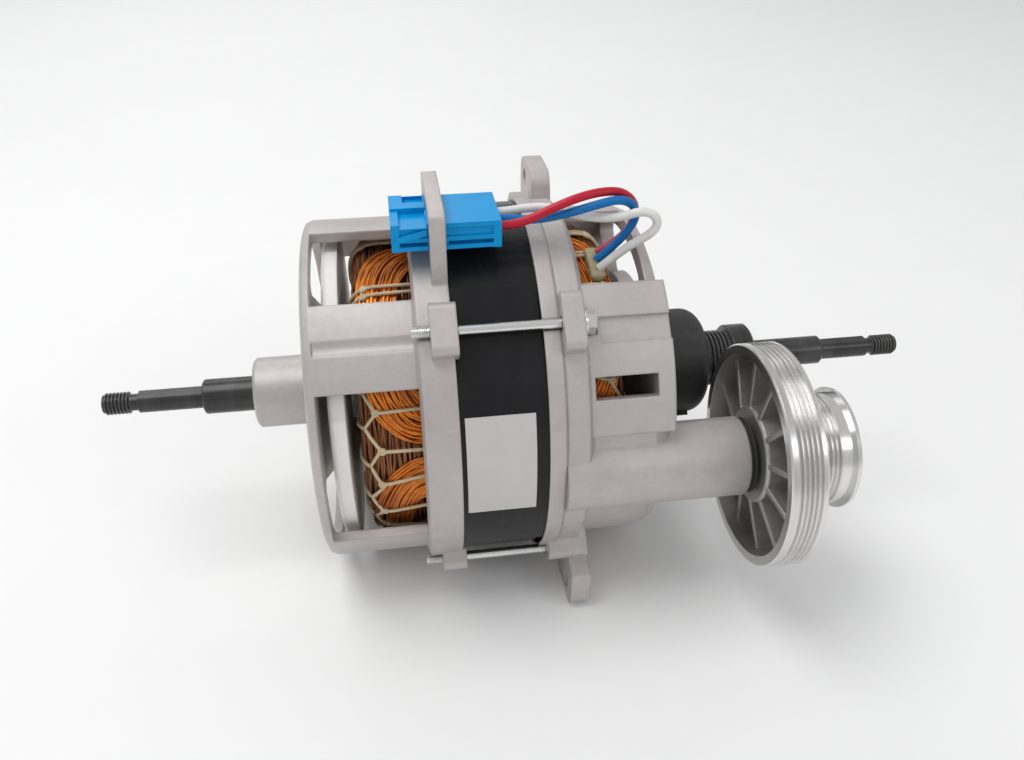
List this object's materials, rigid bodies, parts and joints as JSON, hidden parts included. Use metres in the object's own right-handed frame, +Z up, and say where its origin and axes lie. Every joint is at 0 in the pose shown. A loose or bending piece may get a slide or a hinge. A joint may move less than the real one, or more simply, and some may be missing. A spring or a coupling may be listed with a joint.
{
  "type": "dryer motor",
  "caption": "Open-frame induction motor with cast end bells, two fan shaft ends, a grooved motor pulley and a countershaft carrying a two-step belt pulley, with leads and a plug.",
  "frame": {"origin": "on the motor axis, in the plane of the two fixing ears' left face", "axes": "+X along the motor shaft, towards the belt pulleys; +Z up; -Y towards the countershaft and the rating plate"},
  "size_m": [0.3018, 0.1576, 0.1442],
  "materials": {
    "cast_aluminium": "matt die cast",
    "turned_aluminium": "turned bright",
    "painted_steel": "gloss black paint",
    "black_steel": "black oxide",
    "bright_steel": "polished",
    "zinc_steel": "bright zinc",
    "copper_wire": "varnished",
    "liner_film": "insulating film",
    "fan_plastic": "moulded",
    "black_rubber": "matt",
    "blue_plastic": "moulded gloss",
    "terminal_brass": "bare",
    "red_insulation": "gloss",
    "blue_insulation": "gloss",
    "white_insulation": "gloss",
    "label_film": "satin, left blank",
    "splice_tape": "varnished tape"
  },
  "bodies": {
    "frame": {"connector_housing": "blue_plastic", "connector_terminals": "terminal_brass", "counter_bearing_inner_end_outer_ring": "bright_steel", "counter_bearing_pulley_end_outer_ring": "bright_steel", "lead_blue": "blue_insulation", "lead_red": "red_insulation", "lead_splice": "splice_tape", "lead_white": "white_insulation", "left_end_bell": "cast_aluminium", "main_bearing_left_outer_ring": "bright_steel", "main_bearing_right_outer_ring": "bright_steel", "preload_washer": "bright_steel", "rating_plate": "label_film", "retaining_ring": "black_steel", "right_end_bell": "cast_aluminium", "rubber_ring": "black_rubber", "slot_liners": "liner_film", "stator_core": "painted_steel", "stator_winding": "copper_wire", "tie_bolts": "zinc_steel", "winding_turns_left": "copper_wire", "winding_turns_right": "copper_wire"},
    "rotor": {"motor_shaft": "black_steel", "rotor_core": "black_steel", "rotor_cage": "cast_aluminium", "cooling_fan": "fan_plastic", "motor_pulley": "black_steel", "main_bearing_left_inner_ring": "bright_steel", "main_bearing_left_balls": "bright_steel", "main_bearing_right_inner_ring": "bright_steel", "main_bearing_right_balls": "bright_steel"},
    "countershaft": {"countershaft": "black_steel", "drive_pulley": "turned_aluminium", "counter_bearing_inner_end_inner_ring": "bright_steel", "counter_bearing_inner_end_balls": "bright_steel", "counter_bearing_pulley_end_inner_ring": "bright_steel", "counter_bearing_pulley_end_balls": "bright_steel", "bearing_spacer": "bright_steel", "tube_seal": "black_rubber", "pulley_washer": "zinc_steel", "pulley_nut": "zinc_steel"}
  },
  "joints": [
    {"name": "rotor_spin", "type": "hinge", "parent": "frame", "child": "rotor", "pos_m": [0, 0, 0], "axis": [1, 0, 0], "continuous": true},
    {"name": "countershaft_spin", "type": "hinge", "parent": "frame", "child": "countershaft", "pos_m": [0, -0.05475, -0.00527], "axis": [1, 0, 0], "continuous": true}
  ]
}
